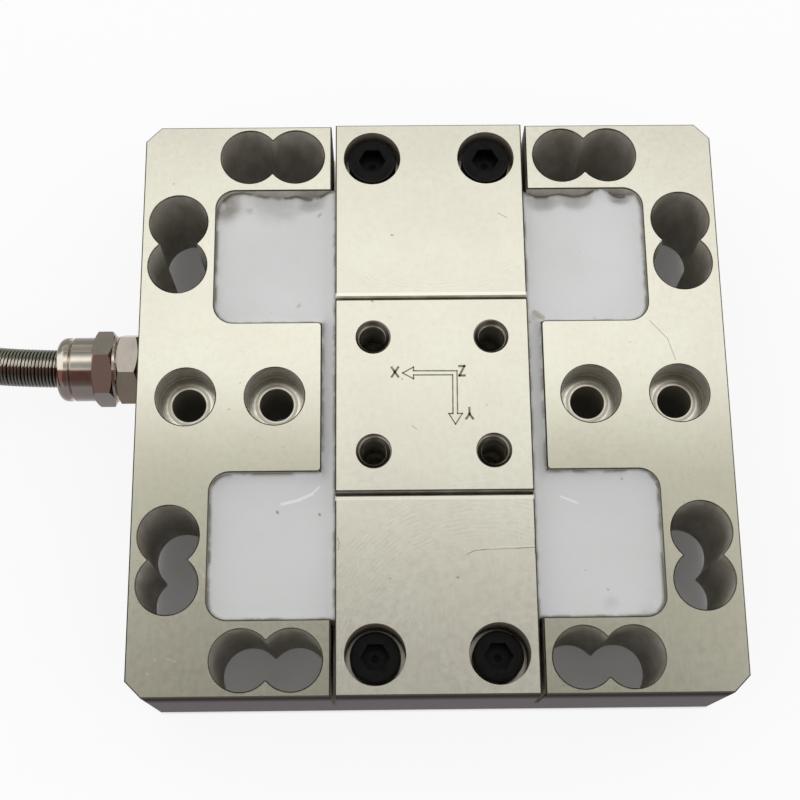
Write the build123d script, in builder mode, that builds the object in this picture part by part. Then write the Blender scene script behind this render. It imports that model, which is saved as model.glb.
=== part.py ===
from build123d import *
import os
from math import cos, pi, radians, sin, sqrt, tan

# Frame: one wire-cut block with columns, arms, lugs and two cross webs
side = 120.0
plate_height = 28.0
foot_height = 0.8
corner_chamfer = 3.2
rim_break = 0.25
flexure_bore = 12.0
cusp_radius = 0.4
column_outer_wall = 1.5
column_inner_wall = 1.8
column_bore_pitch = 9.6
column_bore_margin = 1.1
arm_outer_wall = 1.0
arm_inner_wall = 1.8
arm_bore_pitch = 9.7
arm_end_wall = 1.6
pocket_corner_radius = 4.0
lug_width = 31.6
lug_corner_radius = 0.9
web_height = 11.6

# Centre beam: end blocks, platform and two parallel-beam flexures in one bar
beam_width = 39.4
lug_gap = 2.8
arm_gap = 0.9
web_gap = 0.9
beam_lift = 0.8
end_rise = 0.6
platform_rise = 1.2
platform_length = 40.4
slot_width = 0.7
slot_end_bore = 1.8
z_bore = 9.0
z_bore_pitch = 8.4
z_bore_margin = 0.2
z_wall = 1.85
z_link_height = 3.0

# Threads and fasteners
fixing_bore = 7.0
fixing_counterbore = 12.0
fixing_counterbore_depth = 6.5
fixing_outer_inset = 10.0
fixing_inner_inset = 9.5
thread_core = 5.0
thread_size = 6.0
platform_bolt_spacing = 24.0
platform_thread_depth = 11.0
platform_thread_mouth = 7.2
drill_tip_angle = 118.0
cap_screw_spacing = 24.0
cap_screw_inset = 7.8
cap_head_diameter = 10.0
cap_head_height = 6.0
cap_head_recess_front = 4.0
cap_head_recess_rear = 1.2
cap_screw_length = 16.0
cap_counterbore = 12.0
cap_shank_clearance = 0.6
cap_thread_clearance = 0.1
cap_socket_width = 5.0
cap_socket_depth = 3.0
cap_socket_dimple = 1.6
cap_head_round = 0.5

# Silicone potting and the measuring parts that it seals
potting_recess = 1.5
potting_lift = 0.5
gauge_length = 6.0
gauge_width = 4.0
gauge_thickness = 0.2
gauge_pocket_depth = 0.8
gauge_pocket_margin = 1.2
z_gauge_spacing = 14.0
coat_recess = 0.1
board_length = 14.0
board_width = 12.0
board_thickness = 1.0
board_gap = 3.5
loom_diameter = 1.6
loom_bend = 2.2
loom_gap = 0.1

# Cable gland in the left wall
gland_y = 10.5
gland_z = foot_height + plate_height / 2
wire_bore = 4.5
bundle_diameter = 3.6
spigot_diameter = 10.0
spigot_length = 6.8
spigot_clearance = 0.1
seal_ring_thickness = 1.2
seal_ring_diameter = 13.0
seal_ring_round = 0.4
hex_width = 14.0
hex_corner_trim = 0.6
body_hex_length = 4.45
body_hex_turn = 8.0
body_thread_diameter = 11.0
body_thread_length = 5.3
body_bore_clearance = 0.5
bush_diameter = 8.8
bush_seat_clearance = 0.2
bush_length = 5.0
bush_seat_wall = 0.5
nut_gap = 0.4
nut_collar_length = 0.5
nut_hex_length = 4.2
nut_hex_turn = 34.5
nut_barrel_diameter = 13.5
nut_barrel_length = 4.4
nut_groove_width = 0.8
nut_groove_depth = 0.8
nut_dome_length = 2.6
nut_dome_round = 1.9
nut_thread_clearance = 0.2
nut_shoulder = 0.7

# Cable, spring guard and stored coil
cable_diameter = 5.5
cable_floor_gap = 0.05
jacket_start = 2.0
spring_wire = 0.7
spring_diameter = 8.1
spring_bore_clearance = 0.6
spring_end_share = 0.5
spring_seat_gap = 0.2
coil_ring_count = 5
coil_layer_count = 3
coil_inner_turn = 22.0
coil_entry_run = 24.0
coil_lay_gap = 0.15
last_turn_share = 2 / 3
sleeve_wall = 0.35
sleeve_gap = 0.1
tail_arc = 30.0
sleeve_arc = 24.0
core_count = 8
core_diameter = 1.3
core_circle = 3.6
core_arc = 60.0

# Worked-out levels and places
ring_bottom = foot_height
plate_top = foot_height + plate_height
web_top = ring_bottom + web_height
end_top = plate_top + end_rise
platform_top = plate_top + platform_rise
beam_bottom = ring_bottom + beam_lift
half_side = side / 2
half_beam = beam_width / 2
column_width = column_outer_wall + flexure_bore + column_inner_wall
arm_width = arm_outer_wall + flexure_bore + arm_inner_wall
pocket_x = half_side - column_width
pocket_y = half_side - arm_width
lug_end = half_beam + lug_gap
arm_end = half_beam + arm_gap
arm_bore_y = half_side - arm_outer_wall - flexure_bore / 2
arm_bore_x = arm_end + arm_end_wall + flexure_bore / 2
column_bore_x = half_side - column_outer_wall - flexure_bore / 2
column_bore_y = pocket_y - column_bore_margin - flexure_bore / 2 - column_bore_pitch
fixing_x = [half_side - fixing_outer_inset, lug_end + fixing_inner_inset]
full_depth_y = pocket_y - web_gap
platform_y = platform_length / 2
z_flexure_top = beam_bottom + z_bore + 2 * z_wall
z_bore_y = platform_y + z_bore_margin + z_bore / 2
slot_end_y = z_bore_y + z_bore_pitch + z_bore / 2 + z_bore_margin
cap_screw_y = half_side - cap_screw_inset
potting_top = plate_top - potting_recess
potting_bottom = ring_bottom + potting_lift
recess_top = beam_bottom + gauge_pocket_depth
cable_radius = cable_diameter / 2
floor_z = cable_radius + cable_floor_gap
z_bore_height = beam_bottom + z_wall + z_bore / 2
recess_y = z_bore_y + z_bore_pitch / 2
recess_length = z_bore_pitch + gauge_width + 2 * gauge_pocket_margin
recess_width = z_gauge_spacing + gauge_length + 2 * gauge_pocket_margin
drill_tip = thread_core / 2 / tan(radians(drill_tip_angle / 2))
slit_x = half_beam + lug_gap / 2
board_x = lug_end + board_gap
board_y = lug_width / 2 + board_gap + board_width / 2
loom_start_y = gland_y + bundle_diameter / 2 + loom_gap
body_hex_end = seal_ring_thickness + body_hex_length
body_thread_end = body_hex_end + body_thread_length
bush_start = body_hex_end + bush_seat_wall
bush_end = bush_start + bush_length
nut_start = body_hex_end + nut_gap
nut_barrel_start = nut_start + nut_collar_length + nut_hex_length
nut_groove_start = nut_barrel_start + nut_barrel_length
nut_end = nut_groove_start + nut_groove_width + nut_dome_length

# Places that several pieces share
gland_face = Plane(origin=(-half_side, gland_y, gland_z), x_dir=(0, 1, 0), z_dir=(-1, 0, 0))
gland_section = Plane(origin=(-half_side, gland_y, gland_z), x_dir=(-1, 0, 0), z_dir=(0, 1, 0))
gland_axis = Axis(origin=(-half_side, gland_y, gland_z), direction=(-1, 0, 0))
quarters = [(sx, sy) for sx in (-1, 1) for sy in (-1, 1)]
arm_bores = [(sx * (arm_bore_x + n * arm_bore_pitch), sy * arm_bore_y) for sx, sy in quarters for n in (0, 1)]
column_bores = [(sx * column_bore_x, sy * (column_bore_y + n * column_bore_pitch))
                for sx, sy in quarters for n in (0, 1)]
flexure_bores = arm_bores + column_bores
pair_middles = [((x1 + x2) / 2, (y1 + y2) / 2)
                for (x1, y1), (x2, y2) in zip(flexure_bores[::2], flexure_bores[1::2])]
cap_screw_places = {
    f"{row}_{hand}": (sx * cap_screw_spacing / 2, sy * cap_screw_y)
    for row, sy in (("front", -1), ("rear", 1))
    for hand, sx in (("left", -1), ("right", 1))
}
cap_seats = {
    f"{row}_{hand}": end_top - recess - cap_head_height
    for row, recess in (("front", cap_head_recess_front), ("rear", cap_head_recess_rear))
    for hand in ("left", "right")
}


def save(piece, name):
    piece.part.label = name
    export_step(piece.part, f"parts/{name}.step")


def top_edges(piece, height):
    """Edges that lie flat at one height."""
    return piece.edges().filter_by_position(Axis.Z, height - 0.001, height + 0.001)


def near_pair_middle(edge):
    """True for the upright edges where the two bores of a flexure meet."""
    place = edge.center()
    return any(Vector(place.X - x, place.Y - y).length < flexure_bore / 2 for x, y in pair_middles)


os.makedirs("parts", exist_ok=True)

# Frame
with BuildPart() as sensor_frame:
    with BuildSketch(Plane.XY.offset(ring_bottom)) as plate:
        Rectangle(side, side)
        chamfer(plate.vertices(), corner_chamfer)
    extrude(amount=plate_height)
    with BuildSketch() as feet:
        for sx in (-1, 1):
            with Locations((sx * (half_side + lug_end) / 2, 0)):
                Rectangle(half_side - lug_end, lug_width)
    extrude(amount=foot_height)
    with BuildSketch() as opening:
        Rectangle(2 * pocket_x, 2 * pocket_y)
        for sx in (-1, 1):
            with Locations((sx * (pocket_x + lug_end) / 2, 0)):
                Rectangle(pocket_x - lug_end, lug_width, mode=Mode.SUBTRACT)
        fillet([v for v in opening.vertices() if abs(abs(v.X) - pocket_x) < 0.01], pocket_corner_radius)
        fillet([v for v in opening.vertices() if abs(abs(v.X) - lug_end) < 0.01], lug_corner_radius)
    extrude(amount=plate_top, mode=Mode.SUBTRACT)
    with BuildSketch() as flexures:
        with Locations(flexure_bores):
            Circle(flexure_bore / 2)
    extrude(amount=plate_top, mode=Mode.SUBTRACT)
    fillet([e for e in sensor_frame.edges().filter_by(Axis.Z) if near_pair_middle(e)], cusp_radius)
    with BuildSketch(Plane.XY.offset(web_top)) as channel:
        Rectangle(2 * arm_end, side)
    extrude(amount=plate_height, mode=Mode.SUBTRACT)
    with Locations([(sx * x, 0, plate_top) for sx in (-1, 1) for x in fixing_x]):
        CounterBoreHole(fixing_bore / 2, fixing_counterbore / 2, fixing_counterbore_depth)
    with Locations([(x, y, web_top) for x, y in cap_screw_places.values()]):
        Hole(thread_core / 2, depth=web_height)
    with BuildSketch(gland_face) as spigot_seat:
        Circle((spigot_diameter + spigot_clearance) / 2)
    extrude(amount=-(spigot_length + spigot_clearance), mode=Mode.SUBTRACT)
    with BuildSketch(gland_face) as wire_passage:
        Circle(wire_bore / 2)
    extrude(amount=-(half_side - lug_end), mode=Mode.SUBTRACT)
    chamfer(top_edges(sensor_frame, plate_top), rim_break)
save(sensor_frame, "sensor_frame")

# Centre beam: its side view, pushed to the full width
with BuildPart() as z_beam:
    with BuildSketch(Plane.YZ) as profile:
        with Locations((0, beam_bottom)):
            Rectangle(2 * full_depth_y, end_top - beam_bottom, align=(Align.CENTER, Align.MIN))
            Rectangle(platform_length, platform_top - beam_bottom, align=(Align.CENTER, Align.MIN))
        with Locations((0, web_top)):
            Rectangle(side, end_top - web_top, align=(Align.CENTER, Align.MIN))
        for sy in (-1, 1):
            with Locations((sy * (platform_y + slot_width / 2), z_flexure_top)):
                Rectangle(slot_width, side, align=(Align.CENTER, Align.MIN), mode=Mode.SUBTRACT)
            with Locations((sy * (platform_y + slot_end_y) / 2, z_flexure_top)):
                Rectangle(slot_end_y - platform_y, slot_width, align=(Align.CENTER, Align.MIN),
                          mode=Mode.SUBTRACT)
            with Locations((sy * slot_end_y, z_flexure_top + slot_width / 2)):
                Circle(slot_end_bore / 2, mode=Mode.SUBTRACT)
            with Locations((sy * z_bore_y, z_bore_height), (sy * (z_bore_y + z_bore_pitch), z_bore_height)):
                Circle(z_bore / 2, mode=Mode.SUBTRACT)
            with Locations((sy * (z_bore_y + z_bore_pitch / 2), z_bore_height)):
                Rectangle(z_bore_pitch, z_link_height, mode=Mode.SUBTRACT)
    extrude(amount=half_beam, both=True)
    with BuildSketch(Plane.XY.offset(beam_bottom)) as gauge_recesses:
        for sy in (-1, 1):
            with Locations((0, sy * recess_y)):
                Rectangle(recess_width, recess_length)
    extrude(amount=gauge_pocket_depth, mode=Mode.SUBTRACT)
    with BuildSketch(Plane.YZ) as wire_crossing:
        with Locations((gland_y, gland_z)):
            Circle(wire_bore / 2)
    extrude(amount=half_beam, both=True, mode=Mode.SUBTRACT)
    for place, (x, y) in cap_screw_places.items():
        with Locations((x, y, end_top)):
            CounterBoreHole((thread_size + cap_shank_clearance) / 2, cap_counterbore / 2,
                            end_top - cap_seats[place])
    with Locations(Plane.XY.offset(platform_top)):
        with GridLocations(platform_bolt_spacing, platform_bolt_spacing, 2, 2):
            CounterSinkHole(thread_core / 2, platform_thread_mouth / 2, depth=platform_thread_depth,
                            counter_sink_angle=90)
    with Locations(Plane.XY.offset(platform_top - platform_thread_depth)):
        with GridLocations(platform_bolt_spacing, platform_bolt_spacing, 2, 2):
            Cone(thread_core / 2, 0, drill_tip, rotation=(180, 0, 0),
                 align=(Align.CENTER, Align.CENTER, Align.MIN), mode=Mode.SUBTRACT)
    straight_top = top_edges(z_beam, platform_top) + top_edges(z_beam, end_top)
    chamfer(straight_top.filter_by(GeomType.LINE), rim_break)
save(z_beam, "z_beam")

# Cap screws that hold the beam's ends on the cross webs
for place, (x, y) in cap_screw_places.items():
    cap_seat = cap_seats[place]
    with BuildPart() as cap_screw:
        with Locations((x, y, cap_seat)):
            Cylinder(cap_head_diameter / 2, cap_head_height, align=(Align.CENTER, Align.CENTER, Align.MIN))
        fillet(top_edges(cap_screw, cap_seat + cap_head_height), cap_head_round)
        with BuildSketch(Plane.XY.offset(cap_seat)) as shank:
            with Locations((x, y)):
                Circle(thread_size / 2)
        extrude(amount=-(cap_seat - web_top - cap_thread_clearance))
        with BuildSketch(Plane.XY.offset(cap_seat)) as thread:
            with Locations((x, y)):
                Circle((thread_core - cap_thread_clearance) / 2)
        extrude(amount=-cap_screw_length)
        chamfer(top_edges(cap_screw, cap_seat - cap_screw_length), cap_head_round)
        with BuildSketch(Plane.XY.offset(cap_seat + cap_head_height)) as socket:
            with Locations((x, y)):
                RegularPolygon(cap_socket_width / 2, 6, major_radius=False)
        extrude(amount=-cap_socket_depth, mode=Mode.SUBTRACT)
        with Locations((x, y, cap_seat + cap_head_height - cap_socket_depth)):
            Cone(cap_socket_dimple / 2, 0, cap_socket_dimple / 2, rotation=(180, 0, 0),
                 align=(Align.CENTER, Align.CENTER, Align.MIN), mode=Mode.SUBTRACT)
    save(cap_screw, f"cap_screw_{place}")

# Strain gauges on the thin walls of the arms and the columns
arm_gauges = {}
column_gauges = {}
for row, sy in (("front", -1), ("rear", 1)):
    for hand, sx in (("left", -1), ("right", 1)):
        with BuildPart() as pair:
            with Locations([(sx * (arm_bore_x + n * arm_bore_pitch), sy * (pocket_y - gauge_thickness / 2),
                             gland_z) for n in (0, 1)]):
                Box(gauge_width, gauge_thickness, gauge_length)
        arm_gauges[row, hand] = pair
        save(pair, f"y_gauges_{row}_{hand}")
        with BuildPart() as pair:
            with Locations([(sx * (pocket_x - gauge_thickness / 2), sy * (column_bore_y + n * column_bore_pitch),
                             gland_z) for n in (0, 1)]):
                Box(gauge_thickness, gauge_width, gauge_length)
        column_gauges[row, hand] = pair
        save(pair, f"x_gauges_{row}_{hand}")

# Strain gauges under the beam, each set sealed by a thin coat
for row, sy in (("front", -1), ("rear", 1)):
    with BuildPart() as z_gauges:
        with Locations((0, sy * recess_y, recess_top - gauge_thickness / 2)):
            with GridLocations(z_gauge_spacing, z_bore_pitch, 2, 2):
                Box(gauge_length, gauge_width, gauge_thickness)
    save(z_gauges, f"z_gauges_{row}")
    with BuildPart() as coat:
        with BuildSketch(Plane.XY.offset(beam_bottom + coat_recess)) as coat_outline:
            with Locations((0, sy * recess_y)):
                Rectangle(recess_width, recess_length)
        extrude(amount=gauge_pocket_depth - coat_recess)
        add(z_gauges.part, mode=Mode.SUBTRACT)
    save(coat, f"gauge_coat_{row}")

# Wiring: the cable's cores, two terminal boards and their looms
with BuildPart() as core_bundle:
    with BuildSketch(gland_face.offset(jacket_start)) as bundle_section:
        Circle(bundle_diameter / 2)
    extrude(amount=-(jacket_start + half_side + slit_x))
save(core_bundle, "core_bundle")

boards = {}
looms = {}
for hand, sx in (("left", -1), ("right", 1)):
    with BuildPart() as board:
        with Locations((sx * (board_x + board_length / 2), board_y, gland_z)):
            Box(board_length, board_width, board_thickness)
    boards[hand] = board
    save(board, f"terminal_board_{hand}")
    with BuildPart() as loom:
        with BuildLine() as loom_route:
            FilletPolyline((sx * slit_x, loom_start_y, gland_z), (sx * slit_x, board_y, gland_z),
                           (sx * board_x, board_y, gland_z), radius=loom_bend)
        with BuildSketch(Plane(origin=(sx * slit_x, loom_start_y, gland_z), z_dir=(0, 1, 0))):
            Circle(loom_diameter / 2)
        sweep()
    looms[hand] = loom
    save(loom, f"wire_loom_{hand}")

# Silicone poured into the pockets and slits of each side
for hand, sx in (("left", -1), ("right", 1)):
    with BuildPart() as potting:
        with BuildSketch(Plane.XY.offset(potting_bottom)) as pour:
            with Locations((sx * (pocket_x + half_beam) / 2, 0)):
                Rectangle(pocket_x - half_beam, 2 * pocket_y)
            with Locations((sx * (pocket_x + lug_end) / 2, 0)):
                Rectangle(pocket_x - lug_end, lug_width, mode=Mode.SUBTRACT)
            fillet([v for v in pour.vertices() if abs(abs(v.X) - pocket_x) < 0.01], pocket_corner_radius)
            fillet([v for v in pour.vertices() if abs(abs(v.X) - lug_end) < 0.01], lug_corner_radius)
        extrude(amount=potting_top - potting_bottom)
        for row in ("front", "rear"):
            add(arm_gauges[row, hand].part, mode=Mode.SUBTRACT)
            add(column_gauges[row, hand].part, mode=Mode.SUBTRACT)
        add(boards[hand].part, mode=Mode.SUBTRACT)
        add(looms[hand].part, mode=Mode.SUBTRACT)
        add(core_bundle.part, mode=Mode.SUBTRACT)
    save(potting, f"potting_{hand}")

# Gland: seal ring, body, bush and nut on one axis, measured outwards from the wall
with BuildPart() as seal_ring:
    with BuildSketch(gland_face) as ring_section:
        Circle(seal_ring_diameter / 2)
        Circle((spigot_diameter + spigot_clearance) / 2, mode=Mode.SUBTRACT)
    extrude(amount=seal_ring_thickness)
    rims = seal_ring.edges().filter_by(GeomType.CIRCLE).sort_by(SortBy.RADIUS)[-2:]
    fillet(rims, seal_ring_round)
save(seal_ring, "gland_seal_ring")


def hexagon(start, length, turn):
    """Hexagon bar whose corners are turned off at both ends."""
    corner = hex_width / sqrt(3)
    flat = hex_width / 2
    with BuildPart() as bar:
        with BuildSketch(gland_face.offset(start)):
            RegularPolygon(flat, 6, major_radius=False, rotation=turn)
        extrude(amount=length)
        with BuildSketch(gland_section):
            with BuildLine():
                Polyline((start, 0), (start, flat), (start + hex_corner_trim, corner),
                         (start + length - hex_corner_trim, corner), (start + length, flat),
                         (start + length, 0), close=True)
            make_face()
        revolve(axis=gland_axis, mode=Mode.INTERSECT)
    return bar.part


with BuildPart() as gland_body:
    with BuildSketch(gland_face.offset(-spigot_length)) as spigot:
        Circle(spigot_diameter / 2)
    extrude(amount=spigot_length + seal_ring_thickness)
    add(hexagon(seal_ring_thickness, body_hex_length, body_hex_turn))
    with BuildSketch(gland_face.offset(body_hex_end)) as body_thread:
        Circle(body_thread_diameter / 2)
    extrude(amount=body_thread_length)
    with BuildSketch(gland_face.offset(-spigot_length)) as body_bore:
        Circle((cable_diameter + body_bore_clearance) / 2)
    extrude(amount=spigot_length + body_thread_end, mode=Mode.SUBTRACT)
    with BuildSketch(gland_face.offset(bush_start)) as bush_seat:
        Circle((bush_diameter + bush_seat_clearance) / 2)
    extrude(amount=body_thread_end - bush_start, mode=Mode.SUBTRACT)
save(gland_body, "gland_body")

with BuildPart() as gland_bush:
    with BuildSketch(gland_face.offset(bush_start)) as bush_section:
        Circle(bush_diameter / 2)
        Circle(cable_diameter / 2, mode=Mode.SUBTRACT)
    extrude(amount=bush_length)
save(gland_bush, "gland_bush")

with BuildPart() as gland_nut:
    with BuildSketch(gland_face.offset(nut_start)) as collar:
        Circle(hex_width / 2)
    extrude(amount=nut_collar_length)
    add(hexagon(nut_start + nut_collar_length, nut_hex_length, nut_hex_turn))
    with BuildSketch(gland_face.offset(nut_barrel_start)) as barrel:
        Circle(nut_barrel_diameter / 2)
    extrude(amount=nut_barrel_length + nut_groove_width + nut_dome_length)
    dome_rim = gland_nut.edges().filter_by(GeomType.CIRCLE).sort_by(Axis.X)[0]
    fillet(dome_rim, nut_dome_round)
    with BuildSketch(gland_section) as groove:
        with BuildLine():
            Polyline((nut_groove_start, nut_barrel_diameter / 2),
                     (nut_groove_start + nut_groove_width / 2, nut_barrel_diameter / 2 - nut_groove_depth),
                     (nut_groove_start + nut_groove_width, nut_barrel_diameter / 2), close=True)
        make_face()
    revolve(axis=gland_axis, mode=Mode.SUBTRACT)
    with BuildSketch(gland_face.offset(nut_start)) as nut_thread:
        Circle((body_thread_diameter + nut_thread_clearance) / 2)
    extrude(amount=bush_end - nut_start, mode=Mode.SUBTRACT)
    with BuildSketch(gland_face.offset(bush_end)) as nut_bore:
        Circle((cable_diameter + body_bore_clearance) / 2)
    extrude(amount=nut_shoulder, mode=Mode.SUBTRACT)
    with BuildSketch(gland_face.offset(bush_end + nut_shoulder)) as spring_bore:
        Circle((spring_diameter + spring_bore_clearance) / 2)
    extrude(amount=nut_end - bush_end - nut_shoulder, mode=Mode.SUBTRACT)
save(gland_nut, "gland_nut")

# Cable: straight runs joined by tangent arcs, from the gland down to the coil.
# Each point is measured out from the wall, across from the gland's axis and down from it.
lead_descent = [(jacket_start, 0, 0), (22.0, 0, 0), (41.0, 2.4, 2.4), (61.0, 5.6, 8.0)]
lead_on_floor = [(80.0, 7.6), (97.0, 7.6)]
lead_points = [(-half_side - out, gland_y + across, gland_z - down) for out, across, down in lead_descent]
lead_points += [(-half_side - out, gland_y + across, floor_z) for out, across in lead_on_floor]
lead_start = lead_points[0]


def bend_radii(points):
    """Radius at each inner point, as large as its shorter run allows."""
    radii = []
    for before, point, after in zip(points, points[1:], points[2:]):
        arriving = Vector(*point) - Vector(*before)
        leaving = Vector(*after) - Vector(*point)
        half_turn = radians(arriving.get_angle(leaving)) / 2
        radii.append(0.45 * min(arriving.length, leaving.length) / tan(half_turn))
    return radii


lead_radii = bend_radii(lead_points)
print("bend radii of the cable:", [round(radius, 1) for radius in lead_radii])

with BuildPart() as cable_lead:
    with BuildLine() as lead_route:
        FilletPolyline(*lead_points, radius=lead_radii)
    with BuildSketch(Plane(origin=lead_start, z_dir=(-1, 0, 0))):
        Circle(cable_radius)
    sweep()
lead_length = lead_route.wire().length
print("cable volume against section times length:",
      round(cable_lead.part.volume / (pi * cable_radius**2 * lead_length), 5))
save(cable_lead, "cable_lead")

# Spring guard: the outer form of a close-wound spring that follows the cable
spring_start = (-half_side - bush_end - nut_shoulder - spring_seat_gap, gland_y, gland_z)
spring_end = Vector(*lead_points[2]) + (Vector(*lead_points[3]) - Vector(*lead_points[2])) * spring_end_share
with BuildPart() as spring_guard:
    with BuildLine() as spring_route:
        FilletPolyline(spring_start, lead_points[1], lead_points[2], tuple(spring_end), radius=lead_radii[:2])
    with BuildSketch(Plane(origin=spring_start, z_dir=(-1, 0, 0))):
        Circle(spring_diameter / 2)
        Circle(spring_diameter / 2 - spring_wire, mode=Mode.SUBTRACT)
    sweep()
save(spring_guard, "spring_guard")

# Coil of the rest of the cable, flat on the surface
outer_turn = coil_inner_turn + (coil_ring_count - 1) * cable_diameter
coil_x = lead_points[-1][0] - coil_entry_run
coil_y = lead_points[-1][1] - outer_turn
coil_axis = Axis(origin=(coil_x, coil_y, 0), direction=(0, 0, 1))
coil_section = Plane(origin=(coil_x, coil_y, 0), x_dir=(0, 1, 0), z_dir=(1, 0, 0))
last_turn = 360 * last_turn_share
layer = cable_diameter
inner_edge = coil_inner_turn - cable_radius
outer_edge = outer_turn + cable_radius + coil_lay_gap
tail_turn = inner_edge + layer - cable_radius - sleeve_wall - sleeve_gap
tail_height = (coil_layer_count - 1) * layer + cable_radius + sleeve_wall + sleeve_gap


def around_coil(degrees):
    """Upright plane through the coil's axis, turned on from where the cable enters."""
    heading = radians(90 + degrees)
    outwards = (cos(heading), sin(heading), 0)
    return Plane(origin=(coil_x, coil_y, 0), x_dir=outwards, z_dir=(sin(heading), -cos(heading), 0))


with BuildPart() as cable_coil:
    with BuildSketch(coil_section) as full_layers:
        with Locations((inner_edge, 0)):
            Rectangle(outer_edge - inner_edge, (coil_layer_count - 1) * layer, align=(Align.MIN, Align.MIN))
        with Locations((inner_edge + layer, 0)):
            Rectangle(outer_edge - inner_edge - layer, coil_layer_count * layer,
                      align=(Align.MIN, Align.MIN))
        fillet(full_layers.vertices().sort_by(Axis.Z)[-1:], cable_radius / 2)
    revolve(axis=coil_axis)
    with BuildSketch(coil_section) as part_turn:
        with Locations((inner_edge, 0)):
            Rectangle(2 * layer, coil_layer_count * layer, align=(Align.MIN, Align.MIN))
    revolve(axis=coil_axis, revolution_arc=last_turn)
    with BuildSketch(Plane(origin=(coil_x, coil_y + outer_turn, floor_z), z_dir=(1, 0, 0))):
        Circle(cable_radius)
    extrude(amount=coil_entry_run)
    with BuildSketch(around_coil(last_turn)) as tail_section:
        with Locations((tail_turn, tail_height)):
            Circle(cable_radius)
    revolve(axis=coil_axis, revolution_arc=tail_arc)
save(cable_coil, "cable_coil")

with BuildPart() as cable_sleeve:
    with BuildSketch(around_coil(last_turn + tail_arc - sleeve_arc / 2)) as sleeve_section:
        with Locations((tail_turn, tail_height)):
            Circle(cable_radius + sleeve_wall)
            Circle(cable_radius, mode=Mode.SUBTRACT)
    revolve(axis=coil_axis, revolution_arc=sleeve_arc)
save(cable_sleeve, "cable_sleeve")

with BuildPart() as cable_cores:
    with BuildSketch(around_coil(last_turn + tail_arc)) as core_sections:
        with Locations((tail_turn, tail_height)):
            Circle(core_diameter / 2)
            with PolarLocations(core_circle / 2, core_count - 1):
                Circle(core_diameter / 2)
    revolve(axis=coil_axis, revolution_arc=core_arc)
save(cable_cores, "cable_cores")
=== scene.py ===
from math import atan2, cos, hypot, pi, radians, sin

import bmesh
import bpy
from mathutils import Euler, Matrix, Vector, noise


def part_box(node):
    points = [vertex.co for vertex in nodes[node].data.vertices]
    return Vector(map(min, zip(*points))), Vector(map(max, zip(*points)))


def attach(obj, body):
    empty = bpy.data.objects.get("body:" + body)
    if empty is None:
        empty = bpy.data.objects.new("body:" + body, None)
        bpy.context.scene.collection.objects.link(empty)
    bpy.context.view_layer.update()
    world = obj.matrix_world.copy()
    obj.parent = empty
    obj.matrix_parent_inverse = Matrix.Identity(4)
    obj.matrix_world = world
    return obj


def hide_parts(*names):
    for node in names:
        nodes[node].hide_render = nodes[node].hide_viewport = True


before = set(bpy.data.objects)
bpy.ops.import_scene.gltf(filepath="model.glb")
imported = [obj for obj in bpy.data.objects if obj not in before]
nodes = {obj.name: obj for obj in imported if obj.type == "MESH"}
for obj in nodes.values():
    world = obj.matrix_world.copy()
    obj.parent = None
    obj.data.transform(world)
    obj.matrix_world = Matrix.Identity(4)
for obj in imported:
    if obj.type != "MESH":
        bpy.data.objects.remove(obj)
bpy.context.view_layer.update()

MM = 0.001


def mm(*values):
    return tuple(value * MM for value in values)


# Camera: the photograph's viewpoint, almost straight down
CAMERA_PLACE = (-0.00954, -0.08996, 0.3220)
CAMERA_PITCH = 0.2944
CAMERA_ROLL = -0.0065
CAMERA_YAW = -0.0109
CAMERA_LENS = 68.3

# The cable's route in millimetres, from the gland to the stored coil
CABLE_DIAMETER = 5.5
LEAD_POINTS = [
    (-62.0, 10.5, 14.8),
    (-82.0, 10.5, 14.8),
    (-101.0, 12.9, 12.4),
    (-121.0, 16.1, 6.8),
    (-140.0, 18.1, 2.8),
    (-157.0, 18.1, 2.8),
]
COIL_CENTRE = (-181.0, -25.9)
OUTER_RING = 44.0
INNER_RING = 22.0
FIRST_LAYER = 2.8
POINTS_PER_TURN = 24
TAIL_LIFT = 0.45
TAIL_RADIUS = INNER_RING - TAIL_LIFT
TAIL_HEIGHT = FIRST_LAYER + 2 * CABLE_DIAMETER + TAIL_LIFT

# Sleeve and bare cores: degrees round the coil, and each station's turn past the start and radius
SLEEVE_START = 258.0
SLEEVE_END = 282.0
SLEEVE_SIDES = 28
SLEEVE_STATIONS = [(0.0, 2.78), (0.4, 3.0), (1.4, 3.1), (12.0, 3.06), (22.6, 3.1), (23.6, 2.96), (24.0, 2.2)]
CORES_END = 328.0
CORE_RADIUS = 0.62
TIP_RADIUS = 0.38
CORE_SPREAD = 1.8
CORE_STEPS = 7

# Spring: where it starts and ends in X, how far past its end the cable's line is read, and its wire
SPRING_START = -72.4
SPRING_END = -111.0
SPRING_MARGIN = 4.0
SPRING_RADIUS = 4.05
SPRING_WIRE = 0.72
SPRING_PITCH = SPRING_WIRE * 1.02
SPRING_SIDES = 12

# Silicone in the pockets: the pockets' corners, the lugs that cut into them, and the poured surface
POCKET_ROUND = 4.0
LUG_SIDE = 22.5
LUG_REACH = 15.8
SILICONE_CELL = 0.7
MENISCUS_RISE = 0.75
MENISCUS_REACH = 1.6
SWELL = 0.35
RIPPLE = 0.06
TORN = 0.35
SAG = 0.35
SAG_REACH = 8.0
EDGE_REACH = 1.5
UNDER_FRAME_TOP = 0.25


def add_camera():
    view = bpy.data.cameras.new("camera")
    view.lens = CAMERA_LENS
    view.sensor_width = 36.0
    view.clip_start = 0.01
    camera = bpy.data.objects.new("camera", view)
    bpy.context.scene.collection.objects.link(camera)
    camera.location = CAMERA_PLACE
    camera.rotation_euler = Euler((CAMERA_PITCH, CAMERA_ROLL, CAMERA_YAW), "XYZ")
    bpy.context.scene.camera = camera


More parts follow.
